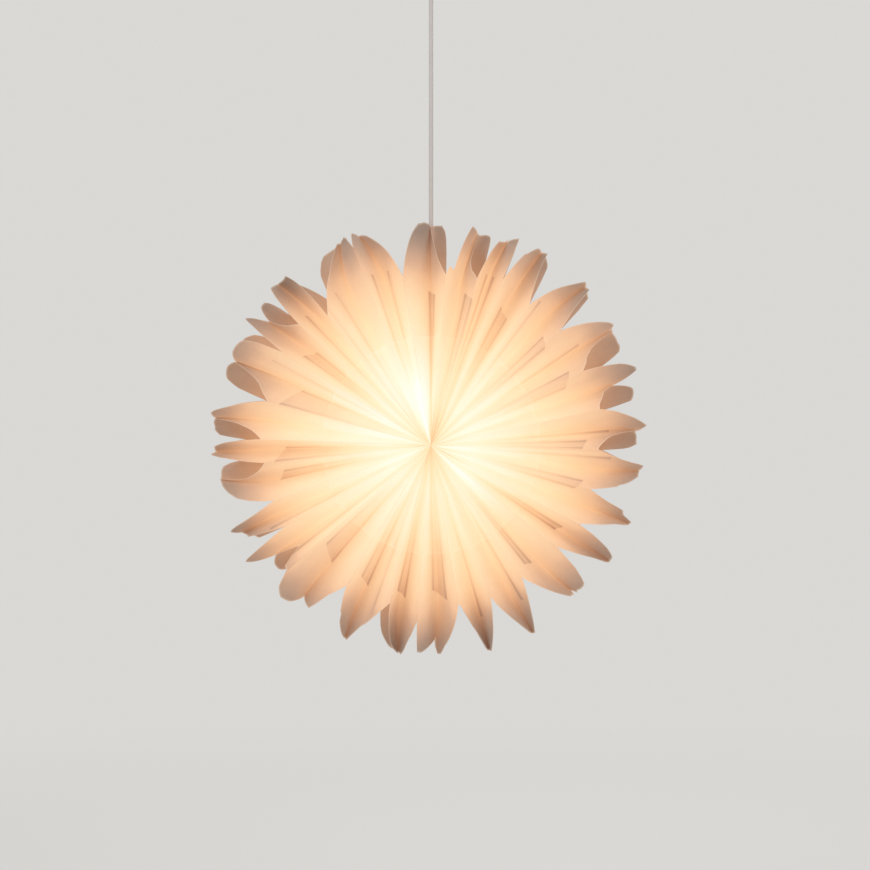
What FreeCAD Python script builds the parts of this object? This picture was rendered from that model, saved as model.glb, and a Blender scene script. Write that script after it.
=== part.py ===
import FreeCAD, Part
import math
import os

import Sketcher

# Paper star pendant lamp, in millimetres.
# The origin is the centre of the ceiling rose's top face, where the lamp is screwed to the ceiling.
# +Z is up, +X is to the right of someone who faces the star, and the star's axis lies along Y.
# The star is a stack of flat paper bags, glued along their middles and round a notch for the bulb,
# cut to an arch at the open end, fanned into a circle about the bags' bottoms and closed at the top,
# with the cord in the seam.

doc = FreeCAD.newDocument("paper_star")
sheet = doc.addObject("Spreadsheet::Sheet", "Sizes")

# Driving dimensions: alias, millimetres, what it is
DIMENSIONS = [
    ("star_drop", 575, "ceiling down to the star's centre"),
    ("bag_width", 150, "width of a flat bag, which is the star's depth"),
    ("tip_radius", 250, "star's centre to the tips"),
    ("crease_end_radius", 190, "star's centre to where the arched cut meets a bag's side crease"),
    ("arch_radius", 170, "radius of each side of the arched cut"),
    ("hub_radius", 2.5, "star's centre to the bags' folded bottoms"),
    ("bottom_depth", 14, "depth of a bag's flat glued bottom"),
    ("paper", 0.25, "thickness of the paper with its glue"),
    ("glue_end_radius", 180, "star's centre to the outer end of the glued strips"),
    ("glue_width", 12, "width of the glued strip along a bag's middle"),
    ("tip_spread", 3.5, "how far a free sheet stands off its neighbour's middle plane at the tip"),
    ("notch_radius", 125, "star's centre to the top of the notch for the bulb"),
    ("notch_half_width", 40, "half the notch's width, measured along the star's axis"),
    ("notch_glue", 9, "width of the glued edge round the notch"),
    ("cord_diameter", 5, "round two-core cord"),
    ("seam_clearance", 0.3, "cord to each sheet of the closing seam"),
    ("washer_radius", 15, "disc that the star hangs on"),
    ("washer_thickness", 2, "disc that the star hangs on"),
    ("seat_clearance", 0.1, "disc to the notch's edges that rest on it"),
    ("bore_clearance", 0.1, "cord to the holes that it passes through"),
    ("grip_radius", 5, "threaded stem of the holder's cord grip"),
    ("grip_flange_radius", 8.5, "flange of the holder's cord grip"),
    ("grip_flange", 4, "height of the grip's flange"),
    ("grip_stem", 7, "length of the stem inside the holder's cap"),
    ("holder_radius", 13.5, "lampholder's outside"),
    ("holder_wall", 1.6, "wall of the skirt and the cap"),
    ("cap_height", 22, "lampholder's conical cap"),
    ("cap_top_radius", 9, "top of the conical cap"),
    ("skirt_length", 34, "lampholder's straight skirt"),
    ("carrier_length", 25.5, "insulating carrier inside the skirt"),
    ("carrier_floor", 4, "thickness of the carrier's end that holds the centre contact"),
    ("carrier_clearance", 0.15, "carrier to skirt"),
    ("sleeve_wall", 0.5, "threaded sleeve that takes the bulb"),
    ("lamp_cap_radius", 6.8, "small Edison screw cap"),
    ("lamp_cap_length", 20, "screw cap of the bulb"),
    ("lamp_cap_clearance", 0.15, "screw cap to sleeve"),
    ("lamp_tip_radius", 2.5, "bulb's centre contact"),
    ("lamp_tip_length", 2, "bulb's centre contact"),
    ("globe_diameter", 45, "bulb's glass globe"),
    ("neck_length", 11, "glass neck between globe and screw cap"),
    ("neck_root_radius", 13.5, "where the conical neck leaves the globe"),
    ("contact_width", 5, "sprung centre contact of the holder"),
    ("contact_thickness", 0.6, "sprung centre contact of the holder"),
    ("rose_radius", 42, "ceiling rose at the ceiling"),
    ("rose_base_radius", 30, "ceiling rose at its underside"),
    ("rose_height", 26, "ceiling rose"),
    ("rose_wall", 1.8, "ceiling rose"),
    ("bracket_width", 16, "steel bracket in the rose"),
    ("bracket_thickness", 1.2, "steel bracket in the rose"),
    ("bracket_drop", 12, "ceiling down to the bracket's lower step"),
    ("bracket_step_half", 17, "half the length of the bracket's lower step"),
    ("bracket_clearance", 2, "bracket's ends to the rose's inside"),
    ("screw_spacing", 56, "between the two holes for ceiling screws"),
    ("screw_hole_radius", 2.3, "hole for a ceiling screw"),
    ("nipple_radius", 5, "threaded tube that joins bracket and rose"),
    ("nipple_clearance", 0.1, "threaded tube to the holes that it passes through"),
    ("nut_radius", 8, "nuts on the threaded tube, across corners"),
    ("nut_height", 3, "nuts on the threaded tube"),
    ("rose_grip_radius", 8, "cord grip under the rose"),
    ("rose_grip_end_radius", 5.6, "lower end of the cord grip under the rose"),
    ("rose_grip_height", 12, "cord grip under the rose"),
    ("block_length", 18, "terminal block"),
    ("block_width", 9, "terminal block"),
    ("block_height", 7, "terminal block"),
    ("terminal_radius", 1.5, "hole for a core in the terminal block"),
    ("terminal_depth", 3, "hole for a core in the terminal block"),
]

# Side creases of the bags: clockwise from the top, in degrees, fanned unevenly by hand
CREASES = [
    5, 16, 22, 35, 48.5, 65, 78, 91.5, 105.5, 118, 129, 145.5, 158.5, 170,
    184.5, 198, 212, 229, 240.5, 250.5, 265, 272, 285, 303, 312.5, 324.5, 338.5, 350.5,
]


def fill_sheet():
    rows = DIMENSIONS + [
        (f"crease_{number:02d}", angle, "degrees clockwise from the top")
        for number, angle in enumerate(CREASES, 1)
    ]
    for row, (alias, value, meaning) in enumerate(rows, 1):
        sheet.set(f"A{row}", meaning)
        sheet.set(f"B{row}", str(value))
        sheet.setAlias(f"B{row}", alias)
    doc.recompute()


fill_sheet()


def size(alias):
    return float(sheet.get(alias))


# Levels above the star's centre, as expressions on the sheet
WASHER_TOP = (
    "(Sizes.notch_radius * sqrt(1 - (Sizes.washer_radius / Sizes.notch_half_width)^2)"
    " - Sizes.seat_clearance)"
)
FLANGE_TOP = f"({WASHER_TOP} - Sizes.washer_thickness)"
CAP_TOP = f"({FLANGE_TOP} - Sizes.grip_flange)"
SKIRT_TOP = f"({CAP_TOP} - Sizes.cap_height)"
SKIRT_BASE = f"({SKIRT_TOP} - Sizes.skirt_length)"
CARRIER_BASE = f"({SKIRT_TOP} - Sizes.carrier_length)"
CARRIER_FLOOR = f"({SKIRT_TOP} - Sizes.carrier_floor)"
CONTACT_BASE = f"({CARRIER_FLOOR} - Sizes.contact_thickness)"
LAMP_CAP_TOP = f"({CONTACT_BASE} - Sizes.lamp_tip_length)"
LAMP_CAP_BASE = f"({LAMP_CAP_TOP} - Sizes.lamp_cap_length)"
GLOBE_CENTRE = f"({LAMP_CAP_BASE} - Sizes.neck_length - Sizes.globe_diameter / 2)"
CORD_BASE = f"({CAP_TOP} - Sizes.grip_stem)"

# Levels below the ceiling
ROSE_BASE = "(-Sizes.rose_height)"
NIPPLE_TOP = "(-Sizes.bracket_drop + Sizes.nut_height)"
ROSE_GRIP_BASE = f"({ROSE_BASE} - Sizes.rose_grip_height)"


def bind(item, **expressions):
    for name, expression in expressions.items():
        item.setExpression(name.replace("__", "."), str(expression))
    return item


def from_star(level):
    return f"{level} - Sizes.star_drop"


def cylinder(name, radius, base, top, across=0, along=0):
    """An upright cylinder between two levels, which are expressions measured from the ceiling."""
    item = doc.addObject("Part::Cylinder", name)
    return bind(
        item, Radius=radius, Height=f"({top}) - ({base})",
        Placement__Base__x=across, Placement__Base__y=along, Placement__Base__z=base,
    )


def cone(name, base_radius, top_radius, base, top):
    item = doc.addObject("Part::Cone", name)
    return bind(
        item, Radius1=base_radius, Radius2=top_radius, Height=f"({top}) - ({base})",
        Placement__Base__z=base,
    )


def block(name, length, width, base, top, across=0, along=0):
    """An upright box centred on (across, along)."""
    item = doc.addObject("Part::Box", name)
    return bind(
        item, Length=length, Width=width, Height=f"({top}) - ({base})",
        Placement__Base__x=f"({across}) - ({length}) / 2",
        Placement__Base__y=f"({along}) - ({width}) / 2",
        Placement__Base__z=base,
    )


def fuse(name, *items):
    item = doc.addObject("Part::MultiFuse", name)
    item.Shapes = list(items)
    return item


def cut(name, base, *tools):
    item = doc.addObject("Part::Cut", name)
    item.Base = base
    item.Tool = tools[0] if len(tools) == 1 else fuse(f"{name}_tools", *tools)
    return item


# How far a cutting shape runs past the face that it opens
PAST = 1

PARTS = []


def bore(name, radius, base, top, across=0, along=0):
    """A cutting cylinder that runs past both of its levels."""
    return cylinder(name, radius, f"{base} - {PAST}", f"{top} + {PAST}", across, along)


def piece(name, item):
    item.Label = name
    PARTS.append(item)
    return item


# The star


def turned(first, second):
    """Axes for a flat outline that faces along the bags' X: its own x and y lie along these directions."""
    axes = FreeCAD.Vector(*first), FreeCAD.Vector(*second), FreeCAD.Vector(1, 0, 0)
    return FreeCAD.Placement(FreeCAD.Vector(), FreeCAD.Rotation(*axes))


def arch_outline():
    """The cut edge of the flat stack: straight sides up to the arch, in the plane of the bags."""
    half_width, shoulder, tip = size("bag_width") / 2, size("crease_end_radius"), size("tip_radius")
    radius = size("arch_radius")
    right = FreeCAD.Vector(half_width, shoulder, 0)
    top = FreeCAD.Vector(0, tip, 0)
    left = FreeCAD.Vector(-half_width, shoulder, 0)

    def side(start, end):
        chord = end - start
        middle = (start + end) / 2
        reach = math.sqrt(radius ** 2 - (chord.Length / 2) ** 2)
        centre = middle + FreeCAD.Vector(-chord.y, chord.x, 0).normalize() * reach
        turn = [math.atan2(p.y - centre.y, p.x - centre.x) for p in (start, end)]
        return Part.ArcOfCircle(Part.Circle(centre, FreeCAD.Vector(0, 0, 1), radius), *turn)

    sketch = doc.addObject("Sketcher::SketchObject", "arch_sketch")
    # The sketch's own axes are the star's axis and the bag's length
    sketch.Placement = turned((0, 1, 0), (0, 0, 1))
    corner_right, corner_left = FreeCAD.Vector(half_width, 0, 0), FreeCAD.Vector(-half_width, 0, 0)
    base, rise, arch_right, arch_left, fall = sketch.addGeometry([
        Part.LineSegment(corner_left, corner_right),
        Part.LineSegment(corner_right, right),
        side(right, top),
        side(top, left),
        Part.LineSegment(left, corner_left),
    ])
    loop = [base, rise, arch_right, arch_left, fall]
    for before, after in zip(loop, loop[1:] + loop[:1]):
        sketch.addConstraint(Sketcher.Constraint("Coincident", before, 2, after, 1))
    origin = (-1, 1)
    sketch.addConstraint(Sketcher.Constraint("Horizontal", base))
    sketch.addConstraint(Sketcher.Constraint("Symmetric", base, 1, base, 2, *origin))
    sketch.addConstraint(Sketcher.Constraint("Vertical", rise))
    sketch.addConstraint(Sketcher.Constraint("Vertical", fall))
    sketch.addConstraint(Sketcher.Constraint("Equal", rise, fall))
    sketch.addConstraint(Sketcher.Constraint("Equal", arch_right, arch_left))
    sketch.addConstraint(Sketcher.Constraint("PointOnObject", arch_right, 2, -2))
    for constraint, name, expression in (
        (Sketcher.Constraint("DistanceX", base, 1, base, 2, 2 * half_width), "width", "Sizes.bag_width"),
        (Sketcher.Constraint("DistanceY", rise, 1, rise, 2, shoulder), "shoulder", "Sizes.crease_end_radius"),
        (Sketcher.Constraint("DistanceY", *origin, arch_right, 2, tip), "tip", "Sizes.tip_radius"),
        (Sketcher.Constraint("Radius", arch_right, radius), "arch", "Sizes.arch_radius"),
    ):
        index = sketch.addConstraint(constraint)
        sketch.renameConstraint(index, name)
        sketch.setExpression(f"Constraints.{name}", expression)
    return sketch


def slab(name, outline):
    """A flat outline carried sideways through the whole of a fanned bag."""
    item = doc.addObject("Part::Extrusion", name)
    item.Base = outline
    item.DirMode = "Custom"
    item.Dir = FreeCAD.Vector(1, 0, 0)
    item.Solid = True
    return bind(item, LengthFwd="Sizes.tip_radius", LengthRev="Sizes.tip_radius")


def notch_outline():
    item = doc.addObject("Part::Ellipse", "notch_ellipse")
    item.Placement = turned((0, 0, 1), (0, -1, 0))
    return bind(item, MajorRadius="Sizes.notch_radius", MinorRadius="Sizes.notch_half_width")


def notch_edge(radius):
    """Half the notch's width at a distance from the star's centre."""
    share = min(1.0, radius / size("notch_radius"))
    return size("notch_half_width") * math.sqrt(1 - share ** 2)


def section(radius, right_angle, left_angle, right_seam, left_seam):
    """The six corners of a fanned bag at one radius, as (sideways, along the star's axis)."""
    glue_end, tip = size("glue_end_radius"), size("tip_radius")
    free = max(0.0, (radius - glue_end) / (tip - glue_end)) * size("tip_spread")
    seam = min(1.0, radius / size("notch_radius")) * (size("cord_diameter") / 2 + size("seam_clearance"))
    edges = []
    for angle, has_seam in ((right_angle, right_seam), (left_angle, left_seam)):
        tilt = math.radians(angle)
        edges.append(radius * math.tan(tilt) - free - has_seam * seam / math.cos(tilt))
    right, left = edges
    band = max(size("glue_width") / 2, notch_edge(radius) + size("notch_glue"))
    panel = size("bag_width") / 2 - band
    crease = band + math.sqrt(panel ** 2 - ((right + left) / 2) ** 2)
    return [(right, band), (0, crease), (-left, band), (-left, -band), (0, -crease), (right, -band)]


def inset(corners, depth):
    """The same outline with every side moved inward by the paper's thickness."""
    sides = []
    for (ax, ay), (bx, by) in zip(corners, corners[1:] + corners[:1]):
        length = math.hypot(bx - ax, by - ay)
        nx, ny = -(by - ay) / length, (bx - ax) / length
        sides.append((nx, ny, nx * ax + ny * ay + depth))
    inner = []
    for (ax, ay, ad), (bx, by, bd) in zip(sides[-1:] + sides[:-1], sides):
        scale = ax * by - ay * bx
        inner.append(((ad * by - bd * ay) / scale, (ax * bd - bx * ad) / scale))
    return inner


def flat_face(*points):
    return Part.Face(Part.makePolygon(list(points) + [points[0]]))


def skin(rings):
    """A closed solid through rings of six corners: flat glued bands, and panels folded once per span."""
    rings = [[FreeCAD.Vector(x, y, z) for x, y in corners] for z, corners in rings]
    faces = [flat_face(*rings[0]), flat_face(*rings[-1])]
    for low, high in zip(rings, rings[1:]):
        for side in range(6):
            a, b, c, d = low[side], low[(side + 1) % 6], high[(side + 1) % 6], high[side]
            if side in (2, 5):
                faces.append(flat_face(a, b, c, d))
            elif side in (0, 3):
                faces += [flat_face(a, b, d), flat_face(b, c, d)]
            else:
                faces += [flat_face(a, b, c), flat_face(a, c, d)]
    return Part.Solid(Part.Shell(faces))


def fanned_tube(name, right_angle, left_angle, right_seam, left_seam):
    """One bag, opened like a book about its glued middles: a six-sided paper tube, solid at its bottom."""
    hub, notch, glue_end, tip = (
        size(alias) for alias in ("hub_radius", "notch_radius", "glue_end_radius", "tip_radius")
    )
    bottom = hub + size("bottom_depth")
    stations = [bottom] + [share * notch for share in (0.4, 0.65, 0.83, 0.94, 1.0)]
    stations += [(notch + glue_end) / 2, glue_end, (glue_end + tip) / 2, tip + PAST]
    openings = (right_angle, left_angle, right_seam, left_seam)
    outside = [(radius, section(radius, *openings)) for radius in [hub] + stations]
    paper = size("paper")
    inside = [(radius, inset(section(radius, *openings), paper)) for radius in stations + [tip + 2 * PAST]]
    item = doc.addObject("Part::Feature", name)
    item.Shape = skin(outside).cut(skin(inside))
    return item


def star():
    outline = cut("stack_outline", slab("arch_slab", arch_outline()), slab("notch_slab", notch_outline()))
    count = len(CREASES)
    for number in range(1, count + 1):
        first, last = number == 1, number == count
        crease = size(f"crease_{number:02d}")
        before = 0 if first else size(f"crease_{number - 1:02d}")
        after = 360 if last else size(f"crease_{number + 1:02d}")
        right_angle = after - crease if last else (after - crease) / 2
        left_angle = crease - before if first else (crease - before) / 2
        name = f"bag_{number:02d}"
        bag = doc.addObject("Part::Common", name)
        bag.Base = fanned_tube(f"{name}_tube", right_angle, left_angle, last, first)
        bag.Tool = outline
        turn = FreeCAD.Rotation(FreeCAD.Vector(0, 1, 0), crease)
        bag.Placement = FreeCAD.Placement(FreeCAD.Vector(), turn)
        angle = f"Sizes.crease_{number:02d}"
        bind(bag, Placement__Base__z="-Sizes.star_drop", Placement__Rotation__Angle=angle)
        piece(name, bag)


# The lamp inside the star


def cord_hole(name, base, top):
    return bore(name, "Sizes.cord_diameter / 2 + Sizes.bore_clearance", base, top)


def hanging_washer():
    low, high = from_star(FLANGE_TOP), from_star(WASHER_TOP)
    disc = cylinder("washer_disc", "Sizes.washer_radius", low, high)
    piece("star_washer", cut("star_washer", disc, cord_hole("washer_hole", low, high)))


def holder_grip():
    low, seat, high = (from_star(level) for level in (CORD_BASE, CAP_TOP, FLANGE_TOP))
    body = fuse(
        "grip_body",
        cylinder("grip_flange", "Sizes.grip_flange_radius", seat, high),
        cylinder("grip_stem", "Sizes.grip_radius", low, f"{high} - Sizes.grip_flange / 2"),
    )
    piece("holder_grip", cut("holder_grip", body, cord_hole("grip_hole", low, high)))


def holder_cap():
    low, high = from_star(SKIRT_TOP), from_star(CAP_TOP)
    wall = "Sizes.holder_wall"
    outside = cone("cap_outside", "Sizes.holder_radius", "Sizes.cap_top_radius", low, high)
    roof = f"{high} - {wall}"
    inside = cone("cap_inside", f"Sizes.holder_radius - {wall}", f"Sizes.cap_top_radius - {wall}", low, roof)
    stem_hole = bore("cap_hole", "Sizes.grip_radius + Sizes.bore_clearance", roof, high)
    piece("holder_cap", cut("holder_cap", outside, inside, stem_hole))


def holder_skirt():
    low, high = from_star(SKIRT_BASE), from_star(SKIRT_TOP)
    outside = cylinder("skirt_outside", "Sizes.holder_radius", low, high)
    inside = bore("skirt_inside", "Sizes.holder_radius - Sizes.holder_wall", low, high)
    piece("holder_skirt", cut("holder_skirt", outside, inside))


SLEEVE_INSIDE = "Sizes.lamp_cap_radius + Sizes.lamp_cap_clearance"
SLEEVE_OUTSIDE = f"{SLEEVE_INSIDE} + Sizes.sleeve_wall"


def contact_carrier():
    low, floor, high = (from_star(level) for level in (CARRIER_BASE, CARRIER_FLOOR, SKIRT_TOP))
    outside = cylinder(
        "carrier_outside", "Sizes.holder_radius - Sizes.holder_wall - Sizes.carrier_clearance", low, high
    )
    pocket = cylinder("carrier_pocket", SLEEVE_OUTSIDE, f"{low} - {PAST}", floor)
    piece("contact_carrier", cut("contact_carrier", outside, pocket))


def lamp_sleeve():
    low, high = from_star(CARRIER_BASE), from_star(f"{CONTACT_BASE} - Sizes.lamp_tip_length / 2")
    outside = cylinder("sleeve_outside", SLEEVE_OUTSIDE, low, high)
    inside = bore("sleeve_inside", SLEEVE_INSIDE, low, high)
    piece("lamp_sleeve", cut("lamp_sleeve", outside, inside))


def centre_contact():
    low, high = from_star(CONTACT_BASE), from_star(CARRIER_FLOOR)
    length = "2 * Sizes.lamp_cap_radius - 2"
    piece("centre_contact", block("centre_contact", length, "Sizes.contact_width", low, high))


def bulb():
    centre, neck, cap, tip = (
        from_star(level) for level in (GLOBE_CENTRE, LAMP_CAP_BASE, LAMP_CAP_TOP, CONTACT_BASE)
    )
    globe = doc.addObject("Part::Sphere", "globe")
    bind(globe, Radius="Sizes.globe_diameter / 2", Placement__Base__z=centre)
    neck_root = f"{centre} + sqrt((Sizes.globe_diameter / 2)^2 - Sizes.neck_root_radius^2)"
    piece("bulb", fuse(
        "bulb",
        globe,
        cone("neck", "Sizes.neck_root_radius", "Sizes.lamp_cap_radius", neck_root, neck),
        cylinder("lamp_cap", "Sizes.lamp_cap_radius", neck, cap),
        cylinder("lamp_tip", "Sizes.lamp_tip_radius", cap, tip),
    ))


def cord():
    piece("cord", cylinder("cord", "Sizes.cord_diameter / 2", from_star(CORD_BASE), NIPPLE_TOP))


# The ceiling rose

NIPPLE_HOLE = "Sizes.nipple_radius + Sizes.nipple_clearance"


def rose_cup():
    wall = "Sizes.rose_wall"
    floor = f"{ROSE_BASE} + {wall}"
    outside = cone("rose_outside", "Sizes.rose_base_radius", "Sizes.rose_radius", ROSE_BASE, 0)
    inside = cone("rose_inside", f"Sizes.rose_base_radius - {wall}", f"Sizes.rose_radius - {wall}", floor, 0)
    hole = bore("rose_hole", NIPPLE_HOLE, ROSE_BASE, floor)
    piece("rose_cup", cut("rose_cup", outside, inside, hole))


def rose_bracket():
    """A steel strap with its middle stepped down, so that the cord's cores reach the terminals above it."""
    steel, drop, half = "Sizes.bracket_thickness", "Sizes.bracket_drop", "Sizes.bracket_step_half"
    length = f"2 * (Sizes.rose_radius - Sizes.rose_wall - Sizes.bracket_clearance - {steel})"
    width = "Sizes.bracket_width"
    strap = block("strap", length, width, f"-{steel}", 0)
    gap = block("strap_gap", f"2 * {half}", f"{width} + 2 * {PAST}", f"-{steel} - {PAST}", PAST)
    step = block("strap_step", f"2 * {half}", width, f"-{drop} - {steel}", f"-{drop}")
    legs, holes = [], []
    for side, sign in (("left", "-"), ("right", "")):
        leg_place, hole_place = f"{sign}({half} + {steel} / 2)", f"{sign}Sizes.screw_spacing / 2"
        legs.append(block(f"strap_leg_{side}", steel, width, f"-{drop} - {steel}", 0, across=leg_place))
        holes.append(bore(f"screw_hole_{side}", "Sizes.screw_hole_radius", f"-{steel}", 0, across=hole_place))
    nipple_hole = bore("bracket_hole", NIPPLE_HOLE, f"-{drop} - {steel}", f"-{drop}")
    body = fuse("strap_body", cut("strap_ends", strap, gap), step, *legs)
    piece("rose_bracket", cut("rose_bracket", body, nipple_hole, *holes))


def rose_nipple():
    low = f"{ROSE_BASE} - Sizes.rose_grip_height / 2"
    tube = cylinder("nipple_tube", "Sizes.nipple_radius", low, NIPPLE_TOP)
    piece("rose_nipple", cut("rose_nipple", tube, cord_hole("nipple_bore", low, NIPPLE_TOP)))


def hexagon_nut(name, base):
    top = f"{base} + Sizes.nut_height"
    body = doc.addObject("Part::Prism", f"{name}_body")
    body.Polygon = 6
    bind(body, Circumradius="Sizes.nut_radius", Height="Sizes.nut_height", Placement__Base__z=base)
    hole = bore(f"{name}_hole", NIPPLE_HOLE, base, top)
    piece(name, cut(name, body, hole))


def rose_nuts():
    hexagon_nut("bracket_nut", "-Sizes.bracket_drop")
    hexagon_nut("rose_nut", f"{ROSE_BASE} + Sizes.rose_wall")


def rose_grip():
    low, high = ROSE_GRIP_BASE, ROSE_BASE
    body = cone("rose_grip_body", "Sizes.rose_grip_end_radius", "Sizes.rose_grip_radius", low, high)
    nipple_end = f"{high} - Sizes.rose_grip_height / 2 - Sizes.nipple_clearance"
    socket = cylinder("rose_grip_socket", NIPPLE_HOLE, nipple_end, f"{high} + {PAST}")
    piece("rose_grip", cut("rose_grip", body, socket, cord_hole("rose_grip_bore", low, high)))


def terminal_block():
    """It sits on the bracket's lower step, beside the nut, with a clamping hole for each core."""
    low = "-Sizes.bracket_drop"
    top = f"{low} + Sizes.block_height"
    along = "Sizes.block_width / 2"
    across = "-Sizes.bracket_step_half + Sizes.block_width / 2"
    body = block("terminal_body", "Sizes.block_width", "Sizes.block_length", low, top, across=across)
    holes = []
    for side, sign in (("front", "-"), ("back", "")):
        hole = cylinder(
            f"terminal_hole_{side}", "Sizes.terminal_radius",
            f"{top} - Sizes.terminal_depth", f"{top} + {PAST}", across, f"{sign}{along}",
        )
        holes.append(hole)
    piece("terminal_block", cut("terminal_block", body, *holes))


star()
hanging_washer()
holder_grip()
holder_cap()
holder_skirt()
contact_carrier()
lamp_sleeve()
centre_contact()
bulb()
cord()
rose_cup()
rose_bracket()
rose_nipple()
rose_nuts()
rose_grip()
terminal_block()
doc.recompute()


def check():
    for item in doc.Objects:
        bad = [state for state in item.State if state in ("Invalid", "Error")]
        if bad:
            raise RuntimeError(f"{item.Name} is {bad}")
    for item in PARTS:
        shape = item.Shape
        if shape.isNull() or not shape.isValid() or not shape.Solids:
            raise RuntimeError(f"{item.Label} has no valid solid")


def write():
    os.makedirs("parts", exist_ok=True)
    for item in PARTS:
        item.Shape.exportStep(f"parts/{item.Label}.step")
        print(item.Label, len(item.Shape.Solids), "solid", round(item.Shape.Volume / 1000, 3), "cm3")


check()
write()
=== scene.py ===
import math
import random

import bpy
import numpy as np
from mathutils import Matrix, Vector


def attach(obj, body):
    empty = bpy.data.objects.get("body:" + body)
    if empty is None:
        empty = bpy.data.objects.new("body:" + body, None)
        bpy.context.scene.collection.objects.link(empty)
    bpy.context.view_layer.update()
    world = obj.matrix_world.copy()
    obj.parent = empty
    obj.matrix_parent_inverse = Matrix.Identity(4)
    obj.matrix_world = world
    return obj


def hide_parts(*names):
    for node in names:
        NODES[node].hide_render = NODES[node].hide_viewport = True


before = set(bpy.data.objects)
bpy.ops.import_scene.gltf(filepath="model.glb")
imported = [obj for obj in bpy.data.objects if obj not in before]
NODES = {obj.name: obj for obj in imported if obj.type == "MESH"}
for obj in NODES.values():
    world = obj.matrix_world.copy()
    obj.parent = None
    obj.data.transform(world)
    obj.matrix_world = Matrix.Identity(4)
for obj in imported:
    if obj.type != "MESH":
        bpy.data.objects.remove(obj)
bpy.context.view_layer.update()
MM = 0.001

# Paper star pendant lamp. Lengths are in millimetres here and metres in the meshes.
# Angles are degrees clockwise from the top, as someone who faces the star (looking along +Y) sees them.

# From the ceiling down to the star's centre, and half the star's depth
STAR_DROP = 575
HALF_DEPTH = 75
# How far out a bag starts, its notch for the bulb ends, its glued middle ends and its longest tip ends
HUB = 0.5
NOTCH_RADIUS = 125
GLUE_END = 180
TIP_RADIUS = 250
# Half the notch's width at the hub, the glue round its edge, and half the glued strip along a bag's middle
NOTCH_HALF_WIDTH = 40
NOTCH_GLUE = 9
GLUE_HALF_WIDTH = 6
# Half the gap between glued sheets, what is added to it at the tips, and the least radius that it is divided by
# to give an angle
GLUE_LIFT = 0.04
TIP_SPREAD = 0.05
GAP_RADIUS = 20
# The paper's thickness, and the most that it has for each mm from the centre
PAPER = 0.25
HUB_TAPER = 0.045
# The closing seam stands this far open each way for the cord, over the flat part, and closes over the rest
SEAM_HALF_WIDTH = 2.85
SEAM_FLAT = 1.8
SEAM_EASE = 4.4
# A panel is never spread over more of its width than this
WIDEST_SPREAD = 0.9
# Free tips: sideways shift of front and back for each mm of depth, the share of the way to the crease by which
# they come away from their middle, how far they curl, and how the lean towards the tip's own angle grows
TIP_SHEAR = 0.16
RELEASE = 0.03
CURL_DEPTH = 5
MOST_LEAN = 1.1
LEAN_CURVE = 1.7
# Each half sheet bulges between its creases by a share in this range
BULGES = (0.3, 0.8)
# Cuts. A flank less full than HOLLOW starts at the petal's middle. Each flank is cut in a number of straight
# snips, whose corners are off by up to SNIP in radius and SNIP_SCATTER of a snip along it. The cut follows
# them by the share STRAIGHT and a curve by the rest. PEAK_CURVE is how round it is from the middle to the peak.
HOLLOW = 0.65
SNIP_COUNT = 4
SNIP = 2.2
SNIP_SCATTER = 0.3
STRAIGHT = 0.8
PEAK_CURVE = 1.7
PEAK_TURNS = (0.02, 0.9)
NO_PEAK_TURN = 0.01

# Each bag in turn, clockwise: the angle it is fanned to, how far its front and back creases turn from there,
# and how far out the front and back creases reach
BAGS = [
    (5, 0, 0, 192, 202), (16, -0.5, 0.6, 194, 222), (22, 1.4, 1.6, 202, 217), (35, 0, 0, 192, 203),
    (48.5, 0, 0, 192, 203), (65, -1, 0.4, 190, 220), (78, 0, 0.7, 194, 206), (91.5, 0, 0.3, 188, 203),
    (105.5, 0, 0, 184, 195), (118, 0, 0, 187, 197), (129, 0, 0, 181, 191), (145.5, 0, 0, 180, 190),
    (158.5, 0, 0, 183, 194), (170, 0, 0, 180, 190), (184.5, 0, 0, 198, 209), (198, -3.5, -0.6, 183, 199),
    (212, -1, -0.8, 184, 193), (229, 0, 0.2, 214, 225), (240.5, 0.5, 0.3, 186, 196), (250.5, 0, 0, 186, 197),
    (265, -1, 0.6, 188, 218), (272, 0, -0.4, 191, 219), (285, 0, 0, 190, 202), (303, -1, 0.5, 195, 226),
    (312.5, 0, 0, 201, 227), (324.5, -3, 0.8, 186, 203), (338.5, 0, 0, 239, 250), (350.5, 0, 0, 191, 202),
]
COUNT = len(BAGS)

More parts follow.
